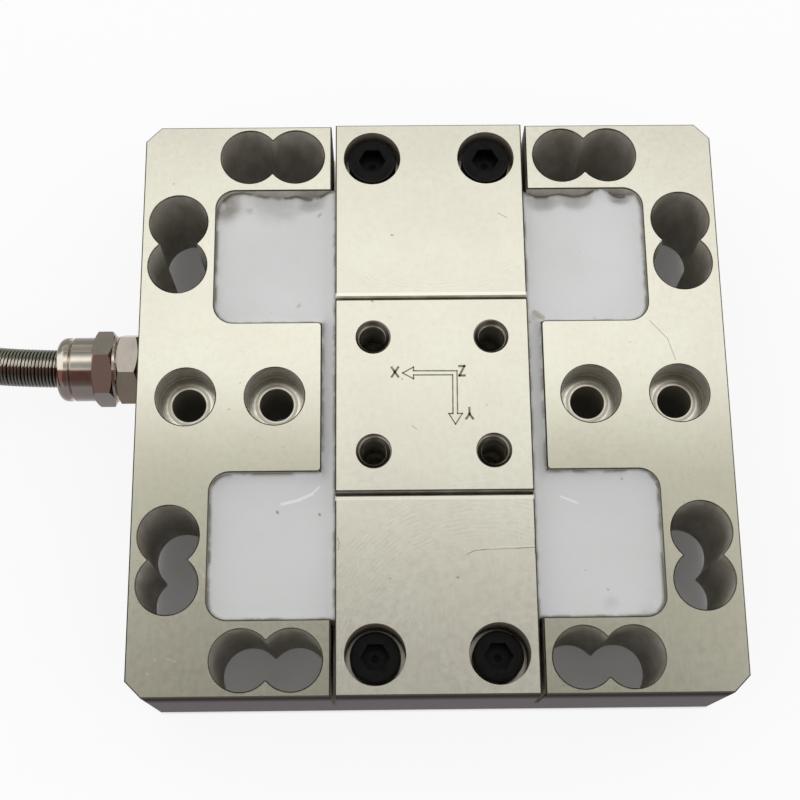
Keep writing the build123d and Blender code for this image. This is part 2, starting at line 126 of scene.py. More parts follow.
def link(name, data, *materials):
    """A new object at the origin, with its materials."""
    piece = bpy.data.objects.new(name, data)
    bpy.context.scene.collection.objects.link(piece)
    for material in materials:
        data.materials.append(material)
    return piece


def to_mesh(bm, name, *materials, smooth=True):
    """Writes a bmesh made in millimetres into a finished piece in metres."""
    bmesh.ops.transform(bm, matrix=Matrix.Scale(MM, 4), verts=bm.verts)
    bmesh.ops.recalc_face_normals(bm, faces=bm.faces)
    data = bpy.data.meshes.new(name)
    bm.to_mesh(data)
    bm.free()
    if smooth:
        data.shade_smooth()
    else:
        data.shade_flat()
    return link(name, data, *materials)


# Shader helpers


def shader_node(tree, kind, inputs=None, **settings):
    """Adds one node, sets its fields, and links or sets its inputs."""
    made = tree.nodes.new(kind)
    for field, value in settings.items():
        setattr(made, field, value)
    for socket, value in (inputs or {}).items():
        if isinstance(value, bpy.types.NodeSocket):
            tree.links.new(value, made.inputs[socket])
        else:
            made.inputs[socket].default_value = value
    return made


def maths(tree, operation, first, second=0.0, clamp=False):
    inputs = {0: first, 1: second}
    return shader_node(tree, "ShaderNodeMath", inputs, operation=operation, use_clamp=clamp).outputs[0]


def plus(tree, first, second, clamp=False):
    return maths(tree, "ADD", first, second, clamp)


def minus(tree, first, second, clamp=False):
    return maths(tree, "SUBTRACT", first, second, clamp)


def times(tree, first, second, clamp=False):
    return maths(tree, "MULTIPLY", first, second, clamp)


def vector_maths(tree, operation, first, second=(0.0, 0.0, 0.0)):
    made = shader_node(tree, "ShaderNodeVectorMath", {0: first, 1: second}, operation=operation)
    return made.outputs["Value" if operation in ("LENGTH", "DISTANCE", "DOT_PRODUCT") else "Vector"]


def scaled(tree, place, factors):
    return vector_maths(tree, "MULTIPLY", place, factors)


def part_of(tree, vector, axis):
    return shader_node(tree, "ShaderNodeSeparateXYZ", {0: vector}).outputs[axis]


def remap(tree, value, low, high, to_low=0.0, to_high=1.0, smooth=True):
    """The value between two limits, as a share from one figure to another."""
    inputs = {"Value": value, "From Min": low, "From Max": high, "To Min": to_low, "To Max": to_high}
    kind = "SMOOTHSTEP" if smooth else "LINEAR"
    return shader_node(tree, "ShaderNodeMapRange", inputs, interpolation_type=kind).outputs["Result"]


def between(tree, value, low, high, soft):
    """1 between two limits and 0 beyond them, with soft ends inside."""
    return times(tree, remap(tree, value, low, low + soft), remap(tree, value, high, high - soft))


def blend(tree, share, first, second, mode="MIX"):
    """Colour between two, where each may be a colour or a socket."""
    inputs = {0: share, 6: first, 7: second}
    return shader_node(tree, "ShaderNodeMix", inputs, data_type="RGBA", blend_type=mode).outputs[2]


def grain(tree, place, scale, detail=2.0, roughness=0.5):
    inputs = {"Vector": place, "Scale": scale, "Detail": detail, "Roughness": roughness}
    return shader_node(tree, "ShaderNodeTexNoise", inputs).outputs["Fac"]


def waves(tree, place, scale, distortion):
    inputs = {"Vector": place, "Scale": scale, "Distortion": distortion}
    return shader_node(tree, "ShaderNodeTexWave", inputs, wave_type="BANDS",
                       bands_direction="DIAGONAL").outputs["Fac"]


def bump(tree, height, strength, distance):
    inputs = {"Height": height, "Strength": strength, "Distance": distance}
    return shader_node(tree, "ShaderNodeBump", inputs).outputs["Normal"]


def new_group(name, inputs, outputs):
    """An empty shader node group with named sockets; kind is F, C or V for a float, colour or vector."""
    kinds = {"F": "NodeSocketFloat", "C": "NodeSocketColor", "V": "NodeSocketVector"}
    tree = bpy.data.node_groups.new(name, "ShaderNodeTree")
    for label, kind, value in inputs:
        tree.interface.new_socket(label, in_out="INPUT", socket_type=kinds[kind]).default_value = value
    for label, kind in outputs:
        tree.interface.new_socket(label, in_out="OUTPUT", socket_type=kinds[kind])
    start = tree.nodes.new("NodeGroupInput").outputs
    end = tree.nodes.new("NodeGroupOutput").inputs
    return tree, start, end


def socket_name(label):
    return label.replace("_", " ").title()


def use_group(tree, group, **inputs):
    """Places a group; each keyword is one of its inputs, as a value or a socket."""
    inputs = {socket_name(label): value for label, value in inputs.items()}
    return shader_node(tree, "ShaderNodeGroup", inputs, node_tree=group).outputs


def new_material(name, **constants):
    """A material with these fixed values on its shader, and its tree, shader and Object place."""
    material = bpy.data.materials.new(name)
    material.use_nodes = True
    tree = material.node_tree
    shader = tree.nodes["Principled BSDF"]
    for label, value in constants.items():
        shader.inputs[socket_name(label)].default_value = value
    place = tree.nodes.new("ShaderNodeTexCoord").outputs["Object"]
    return material, tree, shader, place


def feed(tree, shader, **links):
    for label, socket in links.items():
        tree.links.new(socket, shader.inputs[socket_name(label)])


def soiled(tree, place, size, amount=0.5):
    return use_group(tree, SOILING, place=place, size=size, amount=amount)["Mask"]


# Colours of the steel and the nickel

GROUND_STEEL = (0.83, 0.815, 0.69, 1.0)
GROUND_SHADE = (0.76, 0.745, 0.63, 1.0)
GROUND_CLOUD = (0.70, 0.585, 0.53, 1.0)
# Painted shade that darkens the frame's top toward the front
FRONT_PAINTED_SHADE = (0.70, 0.70, 0.66, 1.0)
CUTTER_LIGHT = (0.96, 0.94, 0.84, 1.0)
CUTTER_DARK = (0.40, 0.37, 0.31, 1.0)
CUT_STEEL = (0.56, 0.54, 0.49, 1.0)
CUT_STAIN = (0.36, 0.33, 0.28, 1.0)
# Painted shade on the outer sides; the band along the top of the front one is darker still
SIDE_PAINTED_SHADE = (0.17, 0.158, 0.16, 1.0)
FRONT_TOP_BAND = (0.024, 0.007, 0.006, 1.0)
# Painted dark reflection on the slanted rims
RIM_PAINTED_REFLECTION = (0.10, 0.085, 0.065, 1.0)
# Painted highlight along the top edges beside the seams
SEAM_PAINTED_HIGHLIGHT = (0.90, 0.88, 0.76, 1.0)
TURNED_STEEL = (0.86, 0.83, 0.73, 1.0)
TURNED_SHADE = (0.40, 0.37, 0.30, 1.0)
# Painted shade on the counterbores' walls
TURNED_WALL_PAINTED_SHADE = (0.10, 0.08, 0.06, 1.0)
# Painted shade on the walls of the cap screws' seats
SEAT_PAINTED_SHADE = (0.24, 0.20, 0.155, 1.0)
BORE_STEEL = (0.28, 0.26, 0.20, 1.0)
THREAD_STEEL = (0.27, 0.245, 0.21, 1.0)
THREAD_SHADE = (0.085, 0.075, 0.06, 1.0)
UNDER_STEEL = (0.42, 0.41, 0.37, 1.0)
EDGE_TINT = (0.42, 0.40, 0.41, 1.0)
WALL_ROUGHNESS = 0.48
WALL_METAL = 0.25
NICKEL_SHADE = (0.30, 0.22, 0.19, 1.0)
# Painted light that brightens the nut's groove
GROOVE_PAINTED_LIGHT = (0.92, 0.88, 0.80, 1.0)
GROOVE_LIGHT_SHARE = 0.42

# Where a finish, a painted shade or a painted highlight begins to show, and where it shows in full
OUTER_WALL = mm(59.6, 59.8)
FRONT_WALL = mm(-59.5, -59.8)
FRONT_BAND_RISE = mm(18.5, 26.0)
FRONT_SHADE_SPAN = mm(8.0, -20.0)
COUNTERBORE_EDGE = mm(6.20, 6.10)
BORE_EDGE = mm(3.62, 3.54)
UNDER_TOP = mm(28.65, 28.50)
TAPPED_EDGE = mm(3.62, 3.50)
THREAD_FADE = mm(27.2, 25.0)
AT_TOP = mm(28.70, 28.85)

# Axes of the holes, and both ends of the painted highlight along the seams, the nut's flats and its groove
FIXING_HOLES = mm(50.0, 32.0)
TAPPED_HOLES = 12.0 * MM
SCREW_SEATS = mm(12.0, 52.2)
SEAM_HIGHLIGHT_BAND = mm(20.3, 21.9)
NUT_FLATS = mm(-70.80, -66.50)
GROOVE = mm(-76.00, -75.10)
CHAMFER_REACH = 56.8 * MM

# Shader groups that several finishes share

PLACE = ("Place", "V", (0, 0, 0))
LEVEL_PLANE = (1.0, 1.0, 0.0)
DRAWN_OUT = (1.0, 0.12, 0.3)
DRAWN_SHARE = 0.45
ARC_SOFT = 0.004
# How far upward the normal of a level face and of an upright one points
LEVEL_FACE = (0.90, 0.97)
UPRIGHT_FACE = (0.30, 0.15)


def make_facing_group():
    """Masks for slanted rims, upright walls and undersides, from the surface's own direction."""
    tree, _, end = new_group("facing", [], [("Rim", "F"), ("Wall", "F"), ("Under", "F")])
    upward = part_of(tree, tree.nodes.new("ShaderNodeTexCoord").outputs["Normal"], "Z")
    top = remap(tree, upward, *LEVEL_FACE)
    wall = remap(tree, maths(tree, "ABSOLUTE", upward), *UPRIGHT_FACE)
    under = remap(tree, upward, -LEVEL_FACE[0], -LEVEL_FACE[1])
    rest = minus(tree, 1.0, plus(tree, top, plus(tree, wall, under)), clamp=True)
    for label, value in (("Rim", rest), ("Wall", wall), ("Under", under)):
        tree.links.new(value, end[label])
    return tree


def make_soiling_group():
    """Soft uneven patches, from clean to soiled."""
    inputs = [PLACE, ("Size", "F", 60.0), ("Amount", "F", 0.5)]
    tree, start, end = new_group("soiling", inputs, [("Mask", "F")])
    patches = grain(tree, start["Place"], start["Size"], 4.0, 0.6)
    floor = times(tree, minus(tree, 1.0, start["Amount"]), 0.7)
    tree.links.new(maths(tree, "DIVIDE", minus(tree, patches, floor), 0.3, clamp=True), end["Mask"])
    return tree


def make_ground_group():
    """Ground steel: fine grain drawn out along Y in patches, with a mottle between, clouds and a few pits."""
    tree, start, end = new_group("ground_steel", [PLACE], [("Grain", "F"), ("Colour", "C")])
    place = start["Place"]
    fine = grain(tree, scaled(tree, place, DRAWN_OUT), 2600.0, 3.0, 0.7)
    mottle = grain(tree, place, 700.0, 4.0, 0.65)
    patch = remap(tree, grain(tree, place, 75.0), 0.40, 0.60)
    lines = times(tree, minus(tree, fine, mottle), times(tree, patch, DRAWN_SHARE))
    grained = plus(tree, mottle, lines)
    colour = blend(tree, remap(tree, grained, 0.26, 0.66), GROUND_SHADE, GROUND_STEEL)
    colour = blend(tree, times(tree, soiled(tree, place, 60.0, 0.45), 0.22), colour, GROUND_CLOUD)
    pits = remap(tree, grain(tree, place, 950.0), 0.75, 0.775)
    colour = blend(tree, times(tree, pits, 0.6), colour, CUTTER_DARK)
    tree.links.new(grained, end["Grain"])
    tree.links.new(colour, end["Colour"])
    return tree


def make_arc_group():
    """Rings left by a turning cutter round a centre, broken up and fading at the edges of a band."""
    inputs = [PLACE, ("Centre", "V", (0, 0, 0)), ("Pitch", "F", 0.0009), ("Inner", "F", 0.02),
              ("Outer", "F", 0.03)]
    tree, start, end = new_group("cutter_arcs", inputs, [("Mark", "F")])
    across = vector_maths(tree, "SUBTRACT", start["Place"], start["Centre"])
    radius = vector_maths(tree, "LENGTH", scaled(tree, across, LEVEL_PLANE))
    waver = times(tree, grain(tree, start["Place"], 180.0), 0.0016)
    turns = maths(tree, "DIVIDE", plus(tree, radius, waver), start["Pitch"])
    wave = maths(tree, "SINE", times(tree, turns, 2 * pi))
    broken = remap(tree, grain(tree, start["Place"], 310.0, 3.0, 0.6), 0.42, 0.64)
    entering = maths(tree, "DIVIDE", minus(tree, radius, start["Inner"]), ARC_SOFT, clamp=True)
    leaving = maths(tree, "DIVIDE", minus(tree, start["Outer"], radius), ARC_SOFT, clamp=True)
    tree.links.new(times(tree, times(tree, wave, broken), times(tree, entering, leaving)), end["Mark"])
    return tree


def make_scratch_group():
    """One straight scratch between two points on a level face."""
    inputs = [PLACE, ("Start", "V", (0, 0, 0)), ("End", "V", (0, 0, 0)), ("Width", "F", 0.0002)]
    tree, start, end = new_group("scratch", inputs, [("Mark", "F")])
    along = vector_maths(tree, "SUBTRACT", start["End"], start["Start"])
    out = vector_maths(tree, "SUBTRACT", scaled(tree, start["Place"], LEVEL_PLANE), start["Start"])
    share = maths(tree, "DIVIDE", vector_maths(tree, "DOT_PRODUCT", out, along),
                  vector_maths(tree, "DOT_PRODUCT", along, along), clamp=True)
    away = vector_maths(tree, "DISTANCE", out, scaled(tree, along, share))
    tree.links.new(remap(tree, maths(tree, "DIVIDE", away, start["Width"]), 1.0, 0.3), end["Mark"])
    return tree


def make_round_group():
    """Distance from the nearest of four mirrored upright axes, and the turn round it."""
    inputs = [PLACE, ("Axis X", "F", 0.0), ("Axis Y", "F", 0.0)]
    tree, start, end = new_group("round_axes", inputs, [("Radius", "F"), ("Turn", "F")])
    x, y = [minus(tree, maths(tree, "ABSOLUTE", part_of(tree, start["Place"], axis)), start["Axis " + axis])
            for axis in "XY"]
    squares = plus(tree, times(tree, x, x), times(tree, y, y))
    tree.links.new(maths(tree, "SQRT", squares), end["Radius"])
    tree.links.new(maths(tree, "ARCTAN2", y, x), end["Turn"])
    return tree


def make_outward_group():
    """How far out from the middle a place lies, towards the nearest side or chamfer of the square."""
    tree, start, end = new_group("outward", [PLACE], [("Reach", "F")])
    sideways, backwards = [maths(tree, "ABSOLUTE", part_of(tree, start["Place"], axis)) for axis in "XY"]
    cornerwise = minus(tree, plus(tree, sideways, backwards), CHAMFER_REACH)
    squarely = maths(tree, "MAXIMUM", sideways, backwards)
    tree.links.new(maths(tree, "MAXIMUM", squarely, cornerwise), end["Reach"])
    return tree


def make_walls_group():
    """Wire-cut openings, and outer sides painted darker as shade, with a darker brown band along the top of
    the front one.
    """
    tree, start, end = new_group("steel_walls", [PLACE], [("Colour", "C"), ("Outer", "F")])
    place = start["Place"]
    stains = soiled(tree, scaled(tree, place, (1.0, 1.0, 0.35)), 210.0, 0.55)
    inner = blend(tree, stains, CUT_STEEL, CUT_STAIN)
    outer = remap(tree, use_group(tree, OUTWARD, place=place)["Reach"], *OUTER_WALL)
    darkening = times(tree, remap(tree, part_of(tree, place, "Z"), *FRONT_BAND_RISE),
                    remap(tree, part_of(tree, place, "Y"), *FRONT_WALL))
    # Painted shade: the outer sides are darkened, with a darker brown band along the top of the front one
    side = blend(tree, darkening, SIDE_PAINTED_SHADE, FRONT_TOP_BAND)
    tree.links.new(blend(tree, outer, inner, side), end["Colour"])
    tree.links.new(outer, end["Outer"])
    return tree


def make_lean_reflection_group():
    """Masks for bands of painted reflection and shade on a bar that lies along X, by how far its surface
    leans to the front or back.
    """
    inputs = [("Wiped Front", "F", -0.32), ("Wiped Back", "F", 0.20)]
    tree, start, end = new_group("lean_reflection", inputs, [("Low", "F"), ("Front", "F"), ("Back", "F")])
    normal = tree.nodes.new("ShaderNodeTexCoord").outputs["Normal"]
    lean = part_of(tree, vector_maths(tree, "NORMALIZE", scaled(tree, normal, (0.0, 1.0, 1.0))), "Y")
    tree.links.new(remap(tree, lean, -0.58, -0.72), end["Low"])
    tree.links.new(remap(tree, minus(tree, start["Wiped Front"], lean), -0.05, 0.04), end["Front"])
    tree.links.new(remap(tree, minus(tree, lean, start["Wiped Back"]), -0.10, 0.14), end["Back"])
    return tree


FACING = make_facing_group()
SOILING = make_soiling_group()
GROUND = make_ground_group()
ARCS = make_arc_group()
SCRATCH = make_scratch_group()
ROUND = make_round_group()
OUTWARD = make_outward_group()
WALLS = make_walls_group()
LEAN_REFLECTION = make_lean_reflection_group()

# Scratches and dark marks, in millimetres: two ends, width and colour of each scratch

PALE = (0.95, 0.93, 0.85, 1.0)
DARK = (0.22, 0.19, 0.14, 1.0)
MILKY = (0.88, 0.89, 0.91, 1.0)
# Dark marks: short specks, and thin dark lines where the silicone meets the pockets' walls
DARK_MARK = (0.24, 0.22, 0.17, 1.0)
BROWN = (0.42, 0.38, 0.30, 1.0)
BEAM_SCRATCHES = [
    ((12.0, -31.5), (19.4, -31.3), 0.14, PALE),
    ((8.9, -32.0), (15.7, -31.8), 0.10, DARK),
    ((15.7, -31.8), (19.4, -31.6), 0.16, DARK),
    ((6.1, -32.9), (7.5, -32.2), 0.14, DARK),
    ((7.5, -32.2), (9.8, -32.0), 0.12, DARK),
    ((-19.2, -29.3), (-18.9, -30.4), 0.12, DARK),
    ((-18.9, -30.4), (-19.1, -31.8), 0.12, DARK),
    ((19.5, -30.2), (19.5, -32.6), 0.24, DARK),
    ((19.5, -32.6), (19.7, -34.7), 0.20, DARK),
    ((-6.3, 3.1), (-6.1, 2.9), 0.18, DARK),
    ((-4.3, -6.9), (-3.4, -7.5), 0.12, DARK),
    ((14.2, 39.5), (16.1, 38.4), 0.12, DARK),
    ((4.1, -37.4), (4.3, -37.5), 0.30, DARK),
    ((-8.1, 34.7), (-7.8, 34.6), 0.28, DARK),
    ((-12.3, 19.9), (-12.0, 19.7), 0.28, DARK),
]
FRAME_SCRATCHES = [
    ((-46.0, -35.4), (-45.2, -36.6), 0.45, PALE),
    ((-54.3, -52.6), (-54.1, -52.9), 0.35, PALE),
    ((-51.8, -52.6), (-50.3, -53.1), 0.30, PALE),
    ((-55.7, -55.3), (-55.4, -55.5), 0.35, PALE),
    ((44.8, 15.5), (48.2, 11.6), 0.12, DARK),
    ((48.2, 11.6), (49.6, 6.9), 0.12, DARK),
]
SILICONE_MARKS = [
    ((-30.4, -22.0), (-27.0, -21.2), 0.45, MILKY),
    ((-27.0, -21.2), (-24.4, -20.0), 0.45, MILKY),
    ((-24.4, -20.0), (-23.0, -18.6), 0.35, MILKY),
    ((-31.3, -23.5), (-31.2, -23.7), 0.40, DARK_MARK),
    ((-22.9, -24.1), (-22.8, -24.3), 0.35, DARK_MARK),
    ((-44.5, -31.6), (-44.4, -33.6), 0.45, DARK_MARK),
    ((-30.6, 45.15), (-25.0, 44.8), 0.40, DARK_MARK),
    ((-22.9, 44.9), (-20.4, 45.0), 0.35, DARK_MARK),
    ((-41.0, 45.1), (-37.6, 45.1), 0.35, DARK_MARK),
    ((21.2, 45.05), (34.4, 45.1), 0.28, DARK_MARK),
    ((21.4, 18.0), (22.9, 16.9), 0.90, BROWN),
    ((25.1, -20.9), (28.4, -22.2), 0.30, MILKY),
    ((44.3, -18.7), (45.0, -20.3), 0.35, DARK_MARK),
    ((45.0, -20.3), (45.1, -23.4), 0.30, DARK_MARK),
    ((38.2, 45.0), (41.6, 44.6), 0.30, DARK_MARK),
]
# Arcs of the cutter: centre, pitch, inner and outer radius in millimetres, and strength
BEAM_ARCS = [
    ((-0.5, 53.0), 0.80, 28.0, 32.5, 0.26),
    ((-4.5, 38.0), 0.70, 14.0, 17.5, 0.22),
    ((10.0, -56.0), 0.85, 24.0, 40.0, 0.10),
    ((-30.0, -64.0), 0.60, 25.0, 42.0, 0.06),
]


def scratched(tree, place, colour, marks, strength):
    """The colour with scratches drawn over it."""
    for begin, finish, width, tint in marks:
        line = use_group(tree, SCRATCH, place=place, start=mm(*begin, 0.0), end=mm(*finish, 0.0),
                         width=width * MM)["Mark"]
        colour = blend(tree, times(tree, line, strength), colour, tint)
    return colour


def arced(tree, place, colour, arcs):
    """The colour with the light and dark rings of a cutter drawn over it."""
    for centre, pitch, inner, outer, strength in arcs:
        mark = use_group(tree, ARCS, place=place, centre=mm(*centre, 0.0), pitch=pitch * MM,
                         inner=inner * MM, outer=outer * MM)["Mark"]
        colour = blend(tree, times(tree, mark, strength, clamp=True), colour, CUTTER_LIGHT)
        colour = blend(tree, times(tree, mark, -strength, clamp=True), colour, CUTTER_DARK)
    return colour


def turned_counterbore(tree, place, level, wall, axis_x, colour, height):
    """Two turned counterbores of the lugs with their bores, with painted shade on their walls and darker down
    the bore.
    """
    radius = use_group(tree, ROUND, place=place, axis_x=axis_x, axis_y=0.0)["Radius"]
    inside = times(tree, remap(tree, radius, *COUNTERBORE_EDGE), remap(tree, level, *UNDER_TOP))
    across = shader_node(tree, "ShaderNodeCombineXYZ", {0: radius, 1: level, 2: 0.0}).outputs[0]
    turning = grain(tree, across, 1900.0, 3.0, 0.6)
    smear = grain(tree, place, 420.0, 3.0, 0.6)
    worn = times(tree, remap(tree, turning, 0.36, 0.60), remap(tree, smear, 0.30, 0.62, 0.45, 1.0))
    turned = blend(tree, worn, TURNED_SHADE, TURNED_STEEL)
    # Painted shade: the counterbore walls are darkened
    turned = blend(tree, times(tree, wall, 0.55), turned, TURNED_WALL_PAINTED_SHADE)
    turned = blend(tree, remap(tree, radius, *BORE_EDGE), turned, BORE_STEEL)
    height = plus(tree, height, times(tree, times(tree, inside, turning), 2.0))
    return blend(tree, inside, colour, turned), height


def tapped_holes(tree, place, level, wall, offset, colour, height):
    """The platform's four threads, with painted shade in their roots, and painted shade on the walls of the
    cap screws' seats.
    """
    hole = use_group(tree, ROUND, place=place, axis_x=offset, axis_y=offset)
    inside = remap(tree, hole["Radius"], *TAPPED_EDGE)
    lead = plus(tree, times(tree, level, 2 * pi / MM), hole["Turn"])
    crest = remap(tree, maths(tree, "SINE", lead), -0.2, 0.9)
    # Painted shade in the thread roots, between the crests
    thread = blend(tree, crest, THREAD_SHADE, THREAD_STEEL)
    thread = blend(tree, remap(tree, level, *THREAD_FADE), thread, BORE_STEEL)
    seats = use_group(tree, ROUND, place=place, axis_x=SCREW_SEATS[0], axis_y=SCREW_SEATS[1])
    # Painted shade: the seats' walls are darkened
    seat_shade = times(tree, remap(tree, seats["Radius"], *COUNTERBORE_EDGE), wall)
    colour = blend(tree, seat_shade, colour, SEAT_PAINTED_SHADE)
    height = plus(tree, height, times(tree, times(tree, inside, crest), 6.0))
    return blend(tree, inside, colour, thread), height


def steel_body(name, roughness, arcs=(), scratches=(), turned_x=(), tapped=None, seams=None, front_shaded=False):
    """Ground tops, wire-cut walls, turned counterbores and cut threads, with painted dark reflection on the
    thin brown rims, painted highlights along the seams and, where asked, painted shade toward the front.
    """
    material, tree, shader, place = new_material(name, specular_tint=EDGE_TINT)
    facing = use_group(tree, FACING)
    wall = facing["Wall"]
    ground = use_group(tree, GROUND, place=place)
    walls = use_group(tree, WALLS, place=place)
    back, level = part_of(tree, place, "Y"), part_of(tree, place, "Z")
    colour = scratched(tree, place, arced(tree, place, ground["Colour"], arcs), scratches, 0.6)
    # Painted shade: the frame's top darkens toward the front
    if front_shaded:
        colour = blend(tree, remap(tree, back, *FRONT_SHADE_SPAN), colour, FRONT_PAINTED_SHADE, "MULTIPLY")
    colour = blend(tree, wall, colour, walls["Colour"])
    # Painted dark reflection: the slanted rims are coloured dark brown
    colour = blend(tree, facing["Rim"], colour, RIM_PAINTED_REFLECTION)
    colour = blend(tree, facing["Under"], colour, UNDER_STEEL)
    wire_lines = grain(tree, scaled(tree, place, (0.1, 0.1, 1.0)), 2400.0, 2.0, 0.6)
    height = plus(tree, times(tree, ground["Grain"], 0.6), times(tree, wire_lines, 0.4))
    for axis_x in turned_x:
        colour, height = turned_counterbore(tree, place, level, wall, axis_x, colour, height)
    if tapped is not None:
        colour, height = tapped_holes(tree, place, level, wall, tapped, colour, height)
    if seams is not None:
        # Painted highlight: a bright band on the top edges beside the seams
        seam_highlight = between(tree, maths(tree, "ABSOLUTE", back), *seams, 0.05 * MM)
        colour = blend(tree, times(tree, seam_highlight, remap(tree, level, *AT_TOP)), colour, SEAM_PAINTED_HIGHLIGHT)
    rough = remap(tree, wall, 0.0, 1.0, roughness, WALL_ROUGHNESS, smooth=False)
    dull = times(tree, wall, minus(tree, 1.0, walls["Outer"]))
    feed(tree, shader, base_color=colour, roughness=plus(tree, rough, times(tree, ground["Grain"], 0.08)),
         metallic=remap(tree, dull, 0.0, 1.0, 1.0, WALL_METAL, smooth=False),
         normal=bump(tree, height, 0.16, 0.00004))
    return material


def black_oxide():
    """Screw heads: nearly black, a little worn on the edges and soiled in patches."""
    material, tree, shader, place = new_material("black_oxide", metallic=0.85)
    patches = soiled(tree, place, 420.0)
    rim = use_group(tree, FACING)["Rim"]
    colour = blend(tree, patches, (0.005, 0.005, 0.006, 1.0), (0.013, 0.012, 0.011, 1.0))
    colour = blend(tree, times(tree, rim, 0.35), colour, (0.12, 0.115, 0.11, 1.0))
    feed(tree, shader, base_color=colour, roughness=remap(tree, patches, 0.0, 1.0, 0.34, 0.52),
         normal=bump(tree, grain(tree, place, 5200.0), 0.25, 0.00003))
    return material


def plated(name, low, high, clean, front, low_painted_shade, back, flats=None):
    """Nickel plate on turned brass: fine rings round its axis, bands of painted reflection and shade by how
    the surface leans, and painted reflection on the nut's flats.
    """
    material, tree, shader, place = new_material(name, metallic=1.0)
    rings = grain(tree, scaled(tree, place, (1.0, 0.06, 0.06)), 5200.0, 2.0, 0.6)
    along = part_of(tree, place, "X")
    lean_reflection = use_group(tree, LEAN_REFLECTION)
    # Painted reflection: clean is the bright reflection where the surface faces up; front, low side and back
    # are painted darker reflections and shade
    tint = blend(tree, lean_reflection["Front"], clean, front)
    if flats is not None:
        # Painted reflection on the nut's flats
        on_flats = between(tree, along, *NUT_FLATS, 0.1 * MM)
        tint = blend(tree, on_flats, tint, flats[0])
        low_painted_shade = blend(tree, on_flats, low_painted_shade, flats[1])
    tint = blend(tree, lean_reflection["Low"], tint, low_painted_shade)
    tint = blend(tree, lean_reflection["Back"], tint, back)
    in_groove = between(tree, along, *GROOVE, 0.1 * MM)
    # Painted light: the groove is lightened
    tint = blend(tree, times(tree, in_groove, GROOVE_LIGHT_SHARE), tint, GROOVE_PAINTED_LIGHT)
    tint = blend(tree, times(tree, soiled(tree, place, 160.0), 0.20), tint, NICKEL_SHADE)
    tint = blend(tree, times(tree, rings, 0.12), tint, NICKEL_SHADE)
    feed(tree, shader, base_color=tint, roughness=remap(tree, rings, 0.3, 0.7, low, high),
         normal=bump(tree, rings, 0.12, 0.00003))
    return material


def plain_mottled(name, colour, shade, size, roughness, metallic=0.0, relief=0.2):
    """A plain finish with soft patches and fine relief."""
    material, tree, shader, place = new_material(name, metallic=metallic)
    fine = grain(tree, place, size * 12.0, 3.0)
    feed(tree, shader, base_color=blend(tree, soiled(tree, place, size), colour, shade),
         roughness=remap(tree, fine, 0.2, 0.8, roughness - 0.06, roughness + 0.06),
         normal=bump(tree, fine, relief, 0.00005))
    return material


SILICONE_WHITE = (0.755, 0.755, 0.765, 1.0)
SILICONE_SOILED = (0.70, 0.705, 0.70, 1.0)
# Painted shade toward the front of the pockets
SILICONE_FRONT_SHADE = (0.62, 0.63, 0.635, 1.0)
# Painted shade along the pockets' walls, with a dark line at the wall
SILICONE_WALL_SHADE = (0.40, 0.40, 0.37, 1.0)
SILICONE_STAIN = (0.26, 0.21, 0.16, 1.0)
SILICONE_WALL_LINE_SHADE = (0.10, 0.09, 0.07, 1.0)
SILICONE_SPECK = (0.30, 0.27, 0.22, 1.0)


def silicone():
    """White potting silicone, greyer along the walls and toward the front as painted shade, with a few brown
    stains and specks.
    """
    material, tree, shader, place = new_material("potting_silicone", subsurface_weight=0.12,
                                                 subsurface_scale=0.002)
    patches = soiled(tree, place, 38.0)
    film = grain(tree, place, 260.0, 3.0)
    near_wall, stain = [shader_node(tree, "ShaderNodeAttribute", attribute_name=label).outputs["Fac"]
                  for label in ("edge", "stain")]
    to_front = remap(tree, part_of(tree, place, "Y"), 12.0 * MM, -12.0 * MM, 0.0, 0.5)
    edge = times(tree, near_wall, remap(tree, film, 0.30, 0.62, 0.35, 1.0))
    wall_line_shade = times(tree, remap(tree, near_wall, 0.45, 0.95), remap(tree, film, 0.40, 0.58))
    specks = remap(tree, grain(tree, place, 520.0, 1.0), 0.775, 0.80)
    colour = blend(tree, patches, SILICONE_WHITE, SILICONE_SOILED)
    # Painted shade: the silicone darkens toward the front
    colour = blend(tree, to_front, colour, SILICONE_FRONT_SHADE)
    # Painted shade: greyer along the walls and a dark line where the silicone meets them
    colour = blend(tree, times(tree, edge, 0.45), colour, SILICONE_WALL_SHADE)
    colour = blend(tree, times(tree, stain, remap(tree, film, 0.3, 0.6, 0.3, 1.0)), colour, SILICONE_STAIN)
    colour = blend(tree, times(tree, wall_line_shade, 0.55), colour, SILICONE_WALL_LINE_SHADE)
    colour = blend(tree, times(tree, specks, 0.5), colour, SILICONE_SPECK)
    colour = scratched(tree, place, colour, SILICONE_MARKS, 0.75)
    feed(tree, shader, base_color=colour, roughness=remap(tree, patches, 0.0, 1.0, 0.34, 0.46),
         normal=bump(tree, grain(tree, place, 900.0, 3.0), 0.10, 0.00004))
    return material


def jacket():
    """Black cable sheath, slightly rubbed, with a fine pebbled surface."""
    material, tree, shader, place = new_material("cable_jacket")
    fine = grain(tree, place, 2600.0, 3.0, 0.6)
    colour = blend(tree, soiled(tree, place, 90.0), (0.018, 0.018, 0.020, 1.0), (0.035, 0.034, 0.034, 1.0))
    feed(tree, shader, base_color=colour, roughness=remap(tree, fine, 0.2, 0.8, 0.42, 0.56),
         normal=bump(tree, fine, 0.3, 0.00005))
    return material


